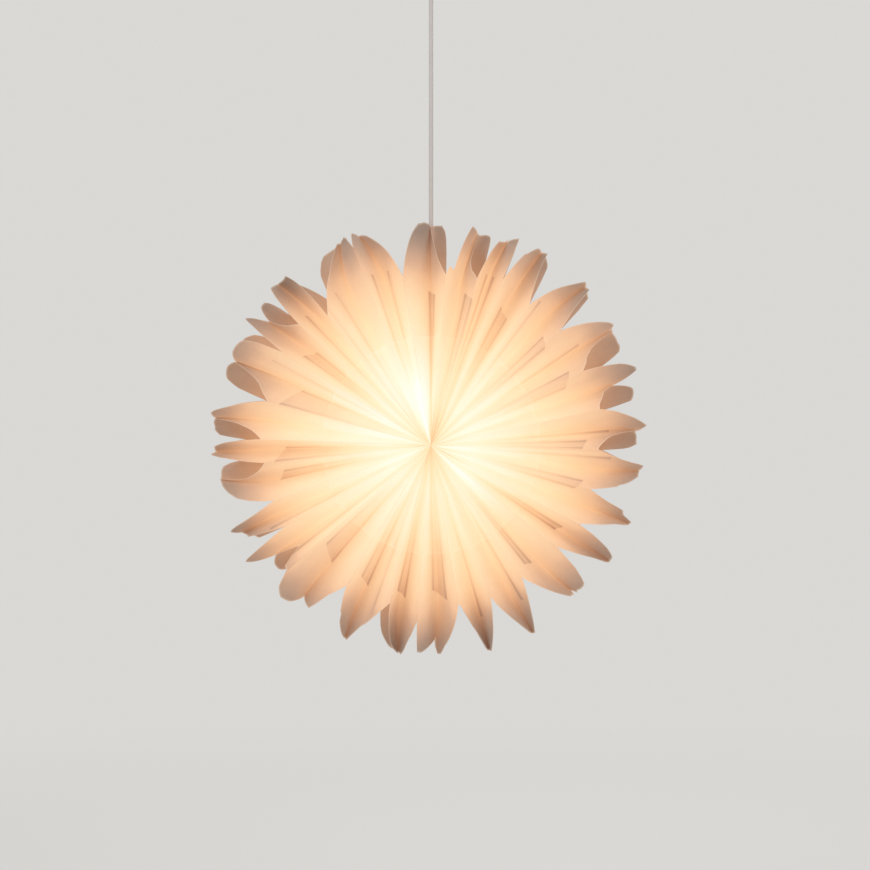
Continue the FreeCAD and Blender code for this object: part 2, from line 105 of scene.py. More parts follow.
# The two free sheets of each petal, from the petal at the top and on clockwise, and how far out they reach
# where they meet. Sheet: where it reaches out furthest (degrees, mm from the centre), how full its front and
# back cuts are from there to the crease (under 1 hollow, 1 straight, over 2 rounded, over 4 blunt), and how
# much lighter its painted glow is than its neighbours'.
PETALS = [
    ((357.1, 256, 1.55, 1.5, -0.07), (362.2, 257, 0.55, 4.4, -0.05), 253),
    ((10.4, 255, 0.66, 0.66, 0.08), (15.4, 255, 0.35, 5, -0.06), 249),
    ((18.8, 245, 1.1, 1.1, 0.1), (22.9, 253, 5, 5, 0.02), 250),
    ((28.6, 257, 1.4, 1.4, 0.08), (31.4, 256, 0.8, 3, 0), 256),
    ((43.2, 258, 1, 1, 0.05), (45.6, 254, 1.1, 3.5, 0), 255),
    ((56.2, 251, 1.35, 1.3, 0.08), (60, 249, 0.45, 7, 0.02), 247),
    ((69.6, 252, 1.9, 1.7, 0), (74.5, 245, 0.4, 7, -0.03), 222),
    ((84.9, 248, 1.25, 1.15, 0.06), (88.4, 240, 0.45, 6, -0.03), 237),
    ((95.3, 244, 0.8, 0.8, 0.04), (98.6, 240, 1.3, 1.2, 0), 242),
    ((111.3, 247, 1.05, 1, 0), (112.2, 245, 0.9, 0.9, 0.03), 246.5),
    ((122.8, 245, 2.3, 2.1, 0), (123.6, 245, 0.85, 0.85, 0.02), 246),
    ((133.8, 237, 3.6, 3.4, 0.02), (137, 237, 1, 1, 0.03), 234),
    ((151.2, 247, 1.1, 1.05, -0.03), (152, 246, 1, 1, -0.01), 247),
    ((163.9, 247, 1.15, 1.1, -0.08), (164.7, 245, 0.85, 0.85, -0.09), 246),
    ((178.4, 241, 1, 0.95, 0.01), (183.4, 236, 5, 4.5, -0.04), 223),
    ((188, 243, 1.4, 1.3, -0.03), (188.9, 242, 1.5, 2.4, -0.06), 242),
    ((203.6, 244.5, 0.9, 0.9, 0.01), (204.4, 243, 1.5, 1.4, -0.03), 244),
    ((216.5, 233, 0.8, 0.8, 0), (223, 242, 4, 4, 0.06), 228),
    ((232, 231, 0.5, 5, -0.04), (238.2, 250, 0.95, 0.9, 0.03), 218.5),
    ((243.4, 233, 1.2, 7, -0.04), (247.1, 250, 0.66, 0.66, -0.02), 240),
    ((259.6, 244, 1.7, 1.6, -0.03), (263, 247.5, 0.4, 4, 0), 246),
    ((267.7, 252.5, 1.3, 1.4, 0.07), (269.2, 248, 2.5, 2, 0.05), 248),
    ((275.6, 255, 0.5, 7, -0.02), (279, 255.5, 1, 1, 0.04), 251),
    ((290.6, 255, 0.6, 4, -0.03), (295.6, 251, 3.5, 6, 0.05), 245),
    ((304.3, 256, 1.2, 1.2, 0), (309.4, 257, 0.6, 4, -0.05), 236),
    ((315, 256, 2.5, 2.3, 0.04), (318.8, 253, 3, 1.1, -0.04), 256),
    ((334.6, 255, 0.85, 6, 0.03), (336.6, 256, 2.5, 2, 0.02), 255),
    ((340.2, 257, 3, 2.5, 0.02), (342.8, 253, 1.25, 1.2, 0.01), 255),
]

# Slivers and nicks in the cuts: petal, sheet, angle, how far it stands out (less than 0: is cut in), half width
# in degrees, and the half sheet it is in (-1 front, 1 back, 0 both)
NICKS = [
    (0, 0, 357.2, -3, 0.35, 0), (1, 0, 8.6, -22, 2.2, 0), (2, 0, 19.6, 4, 0.2, 0), (2, 0, 20.7, 3.5, 0.2, 0),
    (4, 0, 39.6, 15, 0.35, 0), (5, 0, 57.6, -5, 0.35, 0), (8, 1, 101.6, -2.5, 0.4, 0), (9, 0, 108.8, 9, 1.2, 0),
    (11, 0, 134.9, 4, 0.3, 0), (11, 1, 136, 3, 0.3, 0), (14, 0, 177.2, -2.5, 0.3, 0),
    (16, 1, 207.8, -4, 0.35, 0), (18, 0, 232.8, -27, 2.4, -1), (23, 1, 292.6, -3, 0.3, 0),
    (26, 1, 337.6, 2.5, 0.25, 0), (21, 0, 266.4, -2, 0.25, 0),
]
# Where a nick gets columns of points, in its half widths from its middle
NICK_STEPS = (-1.2, -0.6, 0, 0.6, 1.2)

# Glued strips inside, whose painted shadow shows through the paper as darker bands with darker edges (from and
# to, in degrees), and single layers' edges, whose painted shadow shows as lines
STRIPS = [
    (-0.7, 1.3), (12.8, 15.8), (27, 31), (46, 49.6), (62, 67), (88.4, 91.2), (103.2, 106.6), (122, 124.2),
    (139.6, 141.6), (174.3, 179.3), (189.8, 192.8), (204.3, 207.8), (220.2, 226.6), (257.2, 260.2),
    (264.2, 269.2), (285.4, 292.9), (305, 309),
]
LINES = [
    18.2, 20.4, 37.2, 55.8, 85.5, 94.2, 149.5, 163.5, 199.6, 232, 242.5, 298, 316, 323, 328, 341, 346,
]
# How far out they end, and how much nearer a strip's end comes for each degree across it
STRIP_END = 177
LINE_END = 205
STRIP_SLANT = 2.2
# Middle angle, half width in degrees and end of each
BANDS = [((low + high) / 2, (high - low) / 2, STRIP_END) for low, high in STRIPS]
BANDS += [(angle, 0, LINE_END) for angle in LINES]


# Camera

# The width seen at the star's centre, how far the camera stands from there, to its right and above it
VIEW_WIDTH = 1004.85
CAMERA_DISTANCE = 2500
CAMERA_RIGHT = 4.6
CAMERA_UP = 11.5


def new_object(name, data):
    item = bpy.data.objects.new(name, data)
    bpy.context.scene.collection.objects.link(item)
    return item


def make_camera():
    data = bpy.data.cameras.new("camera")
    data.sensor_width = 36
    data.lens = data.sensor_width * CAMERA_DISTANCE / VIEW_WIDTH
    data.clip_end = 60
    camera = new_object("camera", data)
    camera.location = (CAMERA_RIGHT * MM, -CAMERA_DISTANCE * MM, (CAMERA_UP - STAR_DROP) * MM)
    camera.rotation_euler = (math.radians(90), 0, 0)
    bpy.context.scene.camera = camera


# Materials


def new_material(name):
    material = bpy.data.materials.new(name)
    material.use_nodes = True
    nodes = material.node_tree.nodes
    nodes.clear()
    output = nodes.new("ShaderNodeOutputMaterial")
    shader = nodes.new("ShaderNodeBsdfPrincipled")
    material.node_tree.links.new(shader.outputs[0], output.inputs[0])
    return material, shader


class Graph:
    """Short names for adding nodes to a material or the world."""

    def __init__(self, owner):
        self.tree = owner.node_tree

    def put(self, socket, value):
        if isinstance(value, bpy.types.NodeSocket):
            self.tree.links.new(value, socket)
        else:
            socket.default_value = value

    def node(self, kind, **settings):
        item = self.tree.nodes.new(kind)
        for name, value in settings.items():
            setattr(item, name, value)
        return item

    def attribute(self, name):
        return self.node("ShaderNodeAttribute", attribute_name=name).outputs["Fac"]

    def math(self, operation, *values):
        item = self.node("ShaderNodeMath", operation=operation)
        for socket, value in zip(item.inputs, values):
            self.put(socket, value)
        return item.outputs[0]

    def ramp_between(self, value, low, high, start=0.0, end=1.0):
        item = self.node("ShaderNodeMapRange", interpolation_type="SMOOTHSTEP")
        for socket, number in zip(item.inputs, (value, low, high, start, end)):
            self.put(socket, number)
        return item.outputs[0]

    def colours(self, value, stops):
        item = self.node("ShaderNodeValToRGB")
        band = item.color_ramp
        while len(band.elements) < len(stops):
            band.elements.new(1.0)
        for element, (place, colour) in zip(band.elements, stops):
            element.position = place
            element.color = (*colour, 1)
        self.put(item.inputs[0], value)
        return item.outputs[0]

    def mix(self, share, first, second):
        item = self.node("ShaderNodeMix", data_type="RGBA")
        self.put(item.inputs[0], share)
        self.put(item.inputs[6], first)
        self.put(item.inputs[7], second)
        return item.outputs[2]

    def mix_shaders(self, share, first, second):
        item = self.node("ShaderNodeMixShader")
        for socket, value in zip(item.inputs, (share, first, second)):
            self.put(socket, value)
        return item.outputs[0]

    def looked_at(self):
        """1 for rays from the camera, a mirror or glass, and 0 for rays that light the object."""
        path = self.node("ShaderNodeLightPath")
        mirrored = self.math("MAXIMUM", path.outputs["Is Glossy Ray"], path.outputs["Is Transmission Ray"])
        return self.math("MAXIMUM", path.outputs["Is Camera Ray"], mirrored)

    def coordinates(self):
        return self.node("ShaderNodeTexCoord").outputs["Object"]

    def noise(self, vector, scale, detail):
        item = self.node("ShaderNodeTexNoise")
        self.put(item.inputs["Vector"], vector)
        item.inputs["Scale"].default_value = scale
        item.inputs["Detail"].default_value = detail
        item.inputs["Roughness"].default_value = 0.55
        return item.outputs["Fac"]

    def stretched(self, vector, scale):
        item = self.node("ShaderNodeMapping")
        self.put(item.inputs["Vector"], vector)
        item.inputs["Scale"].default_value = scale
        return item.outputs[0]

    def bump(self, height, strength, distance):
        item = self.node("ShaderNodeBump")
        item.inputs["Strength"].default_value = strength
        item.inputs["Distance"].default_value = distance
        self.put(item.inputs["Height"], height)
        return item.outputs[0]


def srgb(red, green, blue):
    """A colour given in ordinary 8-bit values, as linear light."""
    values = (red / 255, green / 255, blue / 255)
    return tuple(v / 12.92 if v <= 0.04045 else ((v + 0.055) / 1.055) ** 2.4 for v in values)


def shaded(colour, share):
    """A share of a colour, with its alpha of 1."""
    return (*(value * share for value in colour), 1)


# The unlit paper's own colour and how strongly the studio lights it, and the colour that the paper shows there
# at each level of glow, from the dark tips (0) to where the bulb is right behind it (1)
PAPER_TONE = (0.28, 0.25, 0.215)
STUDIO_LEVEL = 0.60
PAPER_LIGHT = [
    (0.0, (140, 120, 108)), (0.1, (173, 142, 123)), (0.2, (206, 165, 137)), (0.3, (234, 189, 153)),
    (0.4, (243, 203, 164)), (0.5, (246, 213, 174)), (0.6, (247, 223, 186)), (0.7, (247, 230, 198)),
    (0.8, (249, 237, 212)), (0.9, (250, 243, 225)), (1.0, (252, 249, 238)),
]


def glowing(colour):
    """The light that paper gives out where it shows this colour under the studio's light."""
    return tuple(max(0.0, light - tone * STUDIO_LEVEL) for light, tone in zip(srgb(*colour), PAPER_TONE))


# How much streaks, clouds and fibres change the glow, and how much painted shade strips and lines take from it
STREAKS = 0.03
CLOUDS = 0.065
FIBRES = 0.03
STRIP_SHADE = 0.085
LINE_SHADE = 0.105
# The painted highlight along the cut edges: its colour, and how much of it shows
RIM_HIGHLIGHT_COLOUR = (232, 210, 188)
RIM_HIGHLIGHT_SHARE = 0.32
# Between which distances (in metres) that colour, strips, lines and the ends of both fade, and those from the
# star's centre between which strips and lines come in, from a tenth of their strength
RIM_FADE = (0.0026, 0.0004)
STRIP_FADE = (0.0005, -0.0005)
LINE_FADE = (0.0021, 0.0003)
END_FADE = (-0.0004, 0.0008)
HUB_FADE = (0.04, 0.15)


def paper_material():
    """Thin white paper with the warm glow of a bulb behind it painted in, on which glued strips and single
    layers' edges show as painted shade, fibres show, and the cut edges show as painted highlights.
    """
    material, shader = new_material("star_paper")
    g = Graph(material)
    radius = g.attribute("from_centre")
    band = g.attribute("band_distance")
    rest = g.attribute("band_rest")
    edge = g.attribute("edge_distance")
    glow = g.attribute("glow")
    uv = g.node("ShaderNodeUVMap", uv_map="paper").outputs[0]

    streaks = g.noise(g.stretched(uv, (1.0, 0.035, 1.0)), 260, 2.0)
    clouds = g.noise(uv, 28, 3.0)
    fibres = g.noise(g.stretched(uv, (1.0, 0.5, 1.0)), 1800, 2.0)
    for texture, share in ((streaks, STREAKS), (clouds, CLOUDS), (fibres, FIBRES)):
        glow = g.math("ADD", glow, g.math("MULTIPLY", g.math("SUBTRACT", texture, 0.5), share))

    # Painted shade along the glued strips and the single layers' edges
    clear_of_hub = g.ramp_between(radius, *HUB_FADE, 0.1, 1.0)
    present = g.math("MULTIPLY", g.ramp_between(rest, *END_FADE), clear_of_hub)
    strip = g.math("MULTIPLY", g.ramp_between(band, *STRIP_FADE), present)
    line = g.math("MULTIPLY", g.ramp_between(g.math("ABSOLUTE", band), *LINE_FADE), present)
    for mark, shade in ((strip, STRIP_SHADE), (line, LINE_SHADE)):
        glow = g.math("SUBTRACT", glow, g.math("MULTIPLY", mark, shade))

    light = g.colours(glow, [(level, glowing(colour)) for level, colour in PAPER_LIGHT])
    # A painted highlight along the cut edges, mixed into the glow
    rim = g.ramp_between(edge, *RIM_FADE, 0.0, RIM_HIGHLIGHT_SHARE)
    g.put(shader.inputs["Base Color"], g.mix(clouds, shaded(PAPER_TONE, 0.9), shaded(PAPER_TONE, 1.1)))
    g.put(shader.inputs["Emission Color"], g.mix(rim, light, (*glowing(RIM_HIGHLIGHT_COLOUR), 1)))
    shader.inputs["Emission Strength"].default_value = 1.0
    shader.inputs["Roughness"].default_value = 0.82
    shader.inputs["Specular IOR Level"].default_value = 0.2
    grain = g.math("ADD", fibres, g.math("MULTIPLY", streaks, 0.3))
    g.put(shader.inputs["Normal"], g.bump(grain, 0.3, 0.0004))
    return material


# The star's paper bags


def notch_edge(radius):
    """How far the notch reaches from the star's middle plane, at a distance from its centre."""
    share = min(1.0, radius / NOTCH_RADIUS)
    return NOTCH_HALF_WIDTH * math.sqrt(1 - share ** 2)


def middle_angle(number):
    """The glued middle between a bag and the one after it; the closing seam is at the top."""
    if number % COUNT == COUNT - 1:
        return 360.0
    return (BAGS[number][0] + BAGS[number + 1][0]) / 2


# Rows of points: how far out they are up to the notch's end, and their shares of the way from there to the cut.
# Columns: shares of the way from a petal's middle to a side crease.
ROWS_IN = [HUB, 7, 12, 18, 26, 36, 48, 60, 72, 84, 95, 104, 111, 117, 121.5, 124, NOTCH_RADIUS]
ROWS_OUT = [0.08, 0.17, 0.26, 0.35, 0.44, 0.52, 0.6, 0.67, 0.74, 0.8, 0.86, 0.91, 0.955, 0.985, 1.0]
ROWS = len(ROWS_IN) + len(ROWS_OUT)
COLUMNS = [
    0, 0.006, 0.014, 0.026, 0.042, 0.062, 0.088, 0.12, 0.17, 0.23, 0.3,
    0.37, 0.44, 0.51, 0.58, 0.65, 0.72, 0.79, 0.86, 0.92, 0.965, 1.0,
]


def smooth(share):
    """A share eased at both ends."""
    share = max(0.0, min(1.0, share))
    return share * share * (3 - 2 * share)


def share_at_turn(turn):
    """The share across a half sheet at which it has turned so far from its middle, roughly."""
    turn = max(0.0, min(1.0, turn))
    along = turn ** 0.7 if turn < 0.5 else 1 - (1 - turn) ** 0.7
    return (along * (HALF_DEPTH - GLUE_HALF_WIDTH) + GLUE_HALF_WIDTH) / HALF_DEPTH


class HalfSheet:
    """The front or back half of a free sheet, from the petal's middle (share 0) to a side crease (share 1)."""

    def __init__(
        self, side, face, middle, crease, crease_end, sheet, partner_angle, meeting, nicks, seam, seed,
    ):
        self.side = side
        self.face = face
        self.seam = seam
        self.middle = middle
        self.crease = crease
        self.crease_end = crease_end
        self.meeting = meeting
        peak_angle, self.tip_radius, front, back, self.shade = sheet
        self.fullness = front if face < 0 else back
        self.tip_angle = middle if seam else (peak_angle + partner_angle) / 2
        least, most = PEAK_TURNS
        self.peak_turn = min(most, max(least, self.turn_to(peak_angle)))
        if self.fullness < HOLLOW:
            self.peak_turn = NO_PEAK_TURN
            self.tip_radius = meeting
        self.nicks = []
        self.columns = list(COLUMNS)
        for nick_angle, height, width in nicks:
            middle_turn = self.turn_to(nick_angle)
            turn_width = width / abs(crease - self.tip_angle)
            self.nicks.append((middle_turn, turn_width, height))
            self.columns += [share_at_turn(middle_turn + step * turn_width) for step in NICK_STEPS]
        draw = random.Random(seed)
        self.corners = [(self.peak_turn, self.tip_radius)]
        for number in range(1, SNIP_COUNT):
            fall = (number + draw.uniform(-SNIP_SCATTER, SNIP_SCATTER)) / SNIP_COUNT
            turn = self.peak_turn + (1 - self.peak_turn) * fall
            self.corners.append((turn, self.flank(fall) + draw.uniform(-SNIP, SNIP)))
        self.corners.append((1.0, crease_end))
        self.columns += [share_at_turn(turn) for turn, _ in self.corners]
        self.columns = sorted(set(self.columns))
        self.bulge = draw.uniform(*BULGES)
        self.curl = draw.uniform(-1, 1)
        self.brightness = draw.uniform(-0.03, 0.03)

    def turn_to(self, angle):
        """Share of the way from the tip's middle to the crease, in angle."""
        return (angle - self.tip_angle) / (self.crease - self.tip_angle)

    def flank(self, fall):
        """How far out the curved cut is, at a share of the way from its peak to the crease."""
        return self.tip_radius - (self.tip_radius - self.crease_end) * fall ** self.fullness

    def turned(self, along, free):
        """Share of the way from the middle to the crease, in angle, at a share of the way across the panel."""
        eased = along * along * (3 - 2 * along)
        turn = along + (eased - along) * self.bulge
        released = 0 if self.seam else free * RELEASE
        return released + (1 - released) * turn

    def cut_edge(self, share):
        """How far out the cut is, at a share of the way across."""
        along = max(0.0, (share * HALF_DEPTH - GLUE_HALF_WIDTH) / (HALF_DEPTH - GLUE_HALF_WIDTH))
        turn = self.turned(along, 0)
        ragged = 0
        for middle_turn, width, height in self.nicks:
            ragged += height * max(0.0, 1 - abs(turn - middle_turn) / width)
        if turn < self.peak_turn:
            rise = 1 - (1 - turn / self.peak_turn) ** PEAK_CURVE
            return self.meeting + (self.tip_radius - self.meeting) * rise + ragged
        snipped = float(np.interp(turn, *zip(*self.corners)))
        curved = self.flank((turn - self.peak_turn) / (1 - self.peak_turn))
        return snipped * STRAIGHT + curved * (1 - STRAIGHT) + ragged

    def row_radius(self, share, row):
        return NOTCH_RADIUS + (self.cut_edge(share) - NOTCH_RADIUS) * ROWS_OUT[row]

    def point(self, share, radius):
        """The angle and the place along the star's axis, at a share of the way across and a distance out."""
        edge = notch_edge(radius)
        band = max(GLUE_HALF_WIDTH, edge + NOTCH_GLUE)
        panel = HALF_DEPTH - band
        across = edge + (HALF_DEPTH - edge) * share
        spread = radius * math.tan(math.radians(abs(self.crease - self.middle)))
        crease_depth = band + math.sqrt(panel ** 2 - min(spread, panel * WIDEST_SPREAD) ** 2)
        free = max(0.0, (radius - GLUE_END) / (TIP_RADIUS - GLUE_END))
        lean = (self.tip_angle - self.middle) * min(free, MOST_LEAN) ** LEAN_CURVE
        gap = GLUE_LIFT + TIP_SPREAD * free ** 3
        gap += self.seam * SEAM_HALF_WIDTH * (1 - smooth((across - SEAM_FLAT) / SEAM_EASE))
        sheared = TIP_SHEAR * free * self.face * min(across, GLUE_HALF_WIDTH)
        start = self.middle + lean + math.degrees((sheared - self.side * gap) / max(radius, GAP_RADIUS))
        if across <= band:
            released = 0 if self.seam else free * RELEASE * across / band
            return start + (self.crease - start) * released, self.face * across
        along = (across - band) / panel
        turn = self.turned(along, free)
        depth = band + (crease_depth - band) * along
        depth += self.curl * CURL_DEPTH * free * math.sin(math.pi * along)
        return start + (self.crease - start) * turn, self.face * depth


def in_metres(angle, radius, depth):
    """The point at an angle and a distance from the star's centre, and at a depth along its axis."""
    turn = math.radians(angle)
    return (radius * math.sin(turn) * MM, depth * MM, (radius * math.cos(turn) - STAR_DROP) * MM)


def band_at(angle, radius):
    """Degrees to the nearest band's edge (less than 0 inside it), mm left to its end, and if it is a strip."""
    near = []
    for middle, half, end in BANDS:
        off = (angle - middle + 180) % 360 - 180
        near.append((abs(off) - half, end - radius - STRIP_SLANT * (off + half), half > 0))
    return min(near)


# The bulb's height above the star's centre, and where its glow is centred, which counts by GLOW_SHIFT
BULB_HEIGHT = 27.7
GLOW_CENTRE = (-14.0, 14.0)
GLOW_SHIFT = 0.3
# How much light comes through the paper at each distance from the middle of the glow
GLOW_RADII = [0, 20, 50, 70, 90, 110, 130, 150, 170, 190, 210, 230, 250, 270]
GLOW_LEVELS = [0.52, 0.66, 0.77, 0.76, 0.73, 0.68, 0.62, 0.56, 0.47, 0.35, 0.23, 0.09, 0, 0]
# Where the glow is stronger or weaker than that: angle, half width in degrees, extra light, reach
GLEAMS = [
    (347, 9, 0.34, 75), (249, 8, 0.16, 50), (133, 8, 0.2, 75), (96, 6, 0.12, 45), (287, 7, 0.1, 50),
    (212, 9, 0.07, 60), (22, 20, -0.09, 32), (119, 1.3, -0.3, 40), (197, 1.6, -0.22, 26), (0, 0.9, -0.15, 150),
    (180, 1.2, -0.15, 110), (335, 22, 0.05, 150), (12, 16, -0.08, 170), (165, 30, -0.04, 170),
    (65, 40, -0.03, 170),
]
# Paper that faces the bulb more squarely than usual is brighter, up to about this far out
USUAL_FACING = 0.17
FACING_GAIN = 0.45
FACING_REACH = 130
# The free tips start here and are fully free this much further out. Their middles and creases get painted extra
# light.
FREE_START = 165
FREE_REACH = 80
MIDDLE_LIFT = 0.08
CREASE_LIFT = 0.05
LIFT_WIDTH = 0.25
# The shade beside a strip and beside a line: degrees and depth. It comes in with the distance from the hub.
STRIP_HALO = (2.2, 0.09)
LINE_HALO = (1.3, 0.05)
HALO_START = 30
HALO_REACH = 110
# The inner face's share of the outer face's glow, and what it has besides
INSIDE_SHARE = 0.5
INSIDE_LEVEL = 0.06


def bell(offset):
    return math.exp(-(offset ** 2))


def glow_at(point, normal, radius, share, half, inside):
    """How much of the bulb's light comes through at a point, from 0 to 1."""
    x, y, z = (float(value) / MM for value in point)
    z += STAR_DROP
    off = math.hypot(x - GLOW_CENTRE[0], z - GLOW_CENTRE[1])
    level = float(np.interp((1 - GLOW_SHIFT) * radius + GLOW_SHIFT * off, GLOW_RADII, GLOW_LEVELS))
    ray = np.array((x, y, z - BULB_HEIGHT))
    facing = abs(float(np.dot(ray, normal))) / float(np.linalg.norm(ray))
    level += (facing - USUAL_FACING) * FACING_GAIN * bell(radius / FACING_REACH)
    angle = math.degrees(math.atan2(x, z))
    for gleam, width, extra, reach in GLEAMS:
        off_angle = (angle - gleam + 180) % 360 - 180
        level += extra * math.exp(-((off_angle / width) ** 2) - (radius / reach) ** 4)
    free = max(0.0, min(1.0, (radius - FREE_START) / FREE_REACH))
    level += MIDDLE_LIFT * free * bell(share / LIFT_WIDTH)
    level += CREASE_LIFT * free * bell((1 - share) / LIFT_WIDTH)
    to_band, _, is_strip = band_at(angle, radius)
    width, depth = STRIP_HALO if is_strip else LINE_HALO
    level -= depth * smooth((radius - HALO_START) / HALO_REACH) * (1 - free) * bell(max(0.0, to_band) / width)
    level += half.brightness * (1 - 0.5 * free) + half.shade * min(1.0, free * 2)
    return level * INSIDE_SHARE + INSIDE_LEVEL if inside else level


def bag_halves(number):
    """The four half sheets of a bag, by side (-1 left, 1 right of its creases) and face (-1 front, 1 back)."""
    angle, front_turn, back_turn, front_end, back_end = BAGS[number]
    faces = ((-1, front_turn, front_end), (1, back_turn, back_end))
    # The petal at the top is listed at about 360 degrees, and the first bag is beyond it
    wrap_left = -360 if number == 0 else 0
    sheets = (
        (1, middle_angle(number), PETALS[(number + 1) % COUNT], 0, 0),
        (-1, middle_angle(number - 1) + wrap_left, PETALS[number], 1, wrap_left),
    )
    halves = {}
    for side, middle, petal, own, wrap in sheets:
        peak_angle, *cut = petal[own]
        for face, turn, crease_end in faces:
            nicks = [
                (nick_angle + wrap, height, width) for owner, nicked, nick_angle, height, width, where in NICKS
                if PETALS[owner] is petal and nicked == own and where in (0, face)
            ]
            halves[side, face] = HalfSheet(
                side=side, face=face, middle=middle, crease=angle + turn, crease_end=crease_end,
                sheet=(peak_angle + wrap, *cut), partner_angle=petal[1 - own][0] + wrap, meeting=petal[2],
                nicks=nicks, seam=middle in (0, 360), seed=number * 10 + (side + 1) + (face + 1) // 2,
            )
    return halves


def bag_grid(number):
    """A bag's outside in a ring of four quarters: points, facts about them, quads between them, and creases."""
    halves = bag_halves(number)
    points = []
    facts = []
    index = {}
    quads = []
    creases = set()

    def vertex(half, share, row):
        side_key = 0 if share == 1.0 else half.side
        face_key = 0 if share == 0 and row >= len(ROWS_IN) - 1 else half.face
        key = (side_key, face_key, share, row)
        if key not in index:
            radius = ROWS_IN[row] if row < len(ROWS_IN) else half.row_radius(share, row - len(ROWS_IN))
            angle, depth = half.point(share, radius)
            points.append(in_metres(angle, radius, depth))
            facts.append((half, share, radius, angle, row))
            index[key] = len(points) - 1
        return index[key]

    for side, face, outward in ((1, -1, True), (1, 1, False), (-1, 1, True), (-1, -1, False)):
        half = halves[side, face]
        shares = half.columns[::-1] if outward else half.columns
        for first, second in zip(shares, shares[1:]):
            for row in range(ROWS - 1):
                quads.append((
                    vertex(half, first, row), vertex(half, second, row),
                    vertex(half, second, row + 1), vertex(half, first, row + 1),
                ))
        for row in range(ROWS - 1):
            creases.add((vertex(half, 1.0, row), vertex(half, 1.0, row + 1)))
    return np.array(points), facts, np.array(quads), creases


def outward_normals(points, quads, axis):
    """Unit normals at the points, and the quads turned so that they face away from the bag's own axis."""
    across = np.cross(points[quads[:, 1]] - points[quads[:, 3]], points[quads[:, 2]] - points[quads[:, 0]])
    normals = np.zeros_like(points)
    for corner in range(4):
        np.add.at(normals, quads[:, corner], across)
    normals /= np.maximum(np.linalg.norm(normals, axis=1, keepdims=True), 1e-12)
    arms = points - np.array((0, 0, -STAR_DROP * MM))
    arms -= (arms @ axis)[:, None] * axis
    if np.median(np.sum(normals * arms, axis=1)) < 0:
        return -normals, quads[:, ::-1]
    return normals, quads


def sides_of(quad):
    return zip(quad, (*quad[1:], quad[0]))


def open_edges(quads):
    """Directed edges that only one quad uses."""
    seen = {}
    for quad in quads:
        for a, b in sides_of(quad):
            seen.setdefault((min(a, b), max(a, b)), []).append((a, b))
    return [uses[0] for uses in seen.values() if len(uses) == 1]


# The distance to a band for the inner face, which shows none, and what keeps a bag's sides apart in the UV map
NO_BAND = 1.0
UV_SIDE_SHIFT = 0.3


def mark_paper(mesh, layers, normals, facts):
    """Give each point what the paper's material reads, and a UV map of the paper laid flat (in metres)."""
    cut = np.array([spot for spot, fact in zip(layers[0], facts) if fact[4] == ROWS - 1])
    from_cut = [np.linalg.norm(cut - spot, axis=1).min() for spot in layers[0]]
    names = ("glow", "band_distance", "band_rest", "from_centre", "edge_distance")
    values = {name: [] for name in names}
    uvs = []
    for inside, layer in enumerate(layers):
        for spot, normal, edge, (half, share, radius, angle, _) in zip(layer, normals, from_cut, facts):
            to_band, rest, _ = band_at(angle, radius)
            to_band = NO_BAND if inside else math.radians(to_band) * radius * MM
            found = (glow_at(spot, normal, radius, share, half, inside), to_band, rest * MM, radius * MM, edge)
            for name, value in zip(names, found):
                values[name].append(value)
            edge_depth = notch_edge(radius)
            depth = half.face * (edge_depth + (HALF_DEPTH - edge_depth) * share)
            uvs.append((depth * MM + half.side * UV_SIDE_SHIFT, radius * MM))
    for name in names:
        mesh.attributes.new(name, "FLOAT", "POINT").data.foreach_set("value", values[name])
    corners = np.zeros(len(mesh.loops), dtype=np.int32)
    mesh.loops.foreach_get("vertex_index", corners)
    mesh.uv_layers.new(name="paper").data.foreach_set("uv", np.array(uvs)[corners].ravel())


def shade_paper(mesh, folds):
    """Shade the mesh smooth, apart from the given edges."""
    mesh.shade_smooth()
    sharp = mesh.attributes.get("sharp_edge") or mesh.attributes.new("sharp_edge", "BOOLEAN", "EDGE")
    sharp.data.foreach_set("value", [tuple(sorted(edge.vertices)) in folds for edge in mesh.edges])


def bag_mesh(number):
    """The bag's paper as a closed skin: outer face, inner face and the cut edges between them."""
    points, facts, quads, creases = bag_grid(number)
    turn = math.radians(BAGS[number][0])
    normals, quads = outward_normals(points, quads, np.array((math.sin(turn), 0, math.cos(turn))))
    thickness = np.array([min(PAPER, radius * HUB_TAPER) for _, _, radius, _, _ in facts]) * MM
    inner = points - normals * thickness[:, None]
    total = len(points)
    quads = [tuple(int(v) for v in quad) for quad in quads]
    lining = [tuple(v + total for v in quad[::-1]) for quad in quads]
    rims = [(b, a, a + total, b + total) for a, b in open_edges(quads)]
    mesh = bpy.data.meshes.new(f"paper_bag_{number + 1:02d}")
    mesh.from_pydata(np.vstack([points, inner]).tolist(), [], quads + lining + rims)
    mark_paper(mesh, (points, inner), normals, facts)
    folds = {tuple(sorted(edge)) for edge in creases}
    folds |= {(a + total, b + total) for a, b in folds}
    folds |= {tuple(sorted(edge)) for quad in rims for edge in sides_of(quad)}
    shade_paper(mesh, folds)
    mesh.validate()
    mesh.update()
    return mesh


def make_star(material):
    for number in range(COUNT):
        mesh = bag_mesh(number)
        mesh.materials.append(material)
        item = new_object(f"paper_bag_{number + 1:02d}", mesh)
        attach(item, "root")
        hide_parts(f"bag_{number + 1:02d}")


# The cord


def plastic(name, colour, grain, roughness):
    material, shader = new_material(name)
    g = Graph(material)
    where = g.coordinates()
    fine = g.noise(where, grain, 3.0)
    broad = g.noise(where, grain / 14, 2.0)
    g.put(shader.inputs["Base Color"], g.mix(broad, shaded(colour, 0.93), shaded(colour, 1)))
    g.put(shader.inputs["Roughness"], g.ramp_between(fine, 0.3, 0.7, roughness - 0.06, roughness + 0.08))
    g.put(shader.inputs["Normal"], g.bump(fine, 0.25, 0.0002))
    return material


# From the holder's grip up to the terminals in the rose
CORD_LOW = -472.2
CORD_HIGH = -9
CORD_DIAMETER = 5


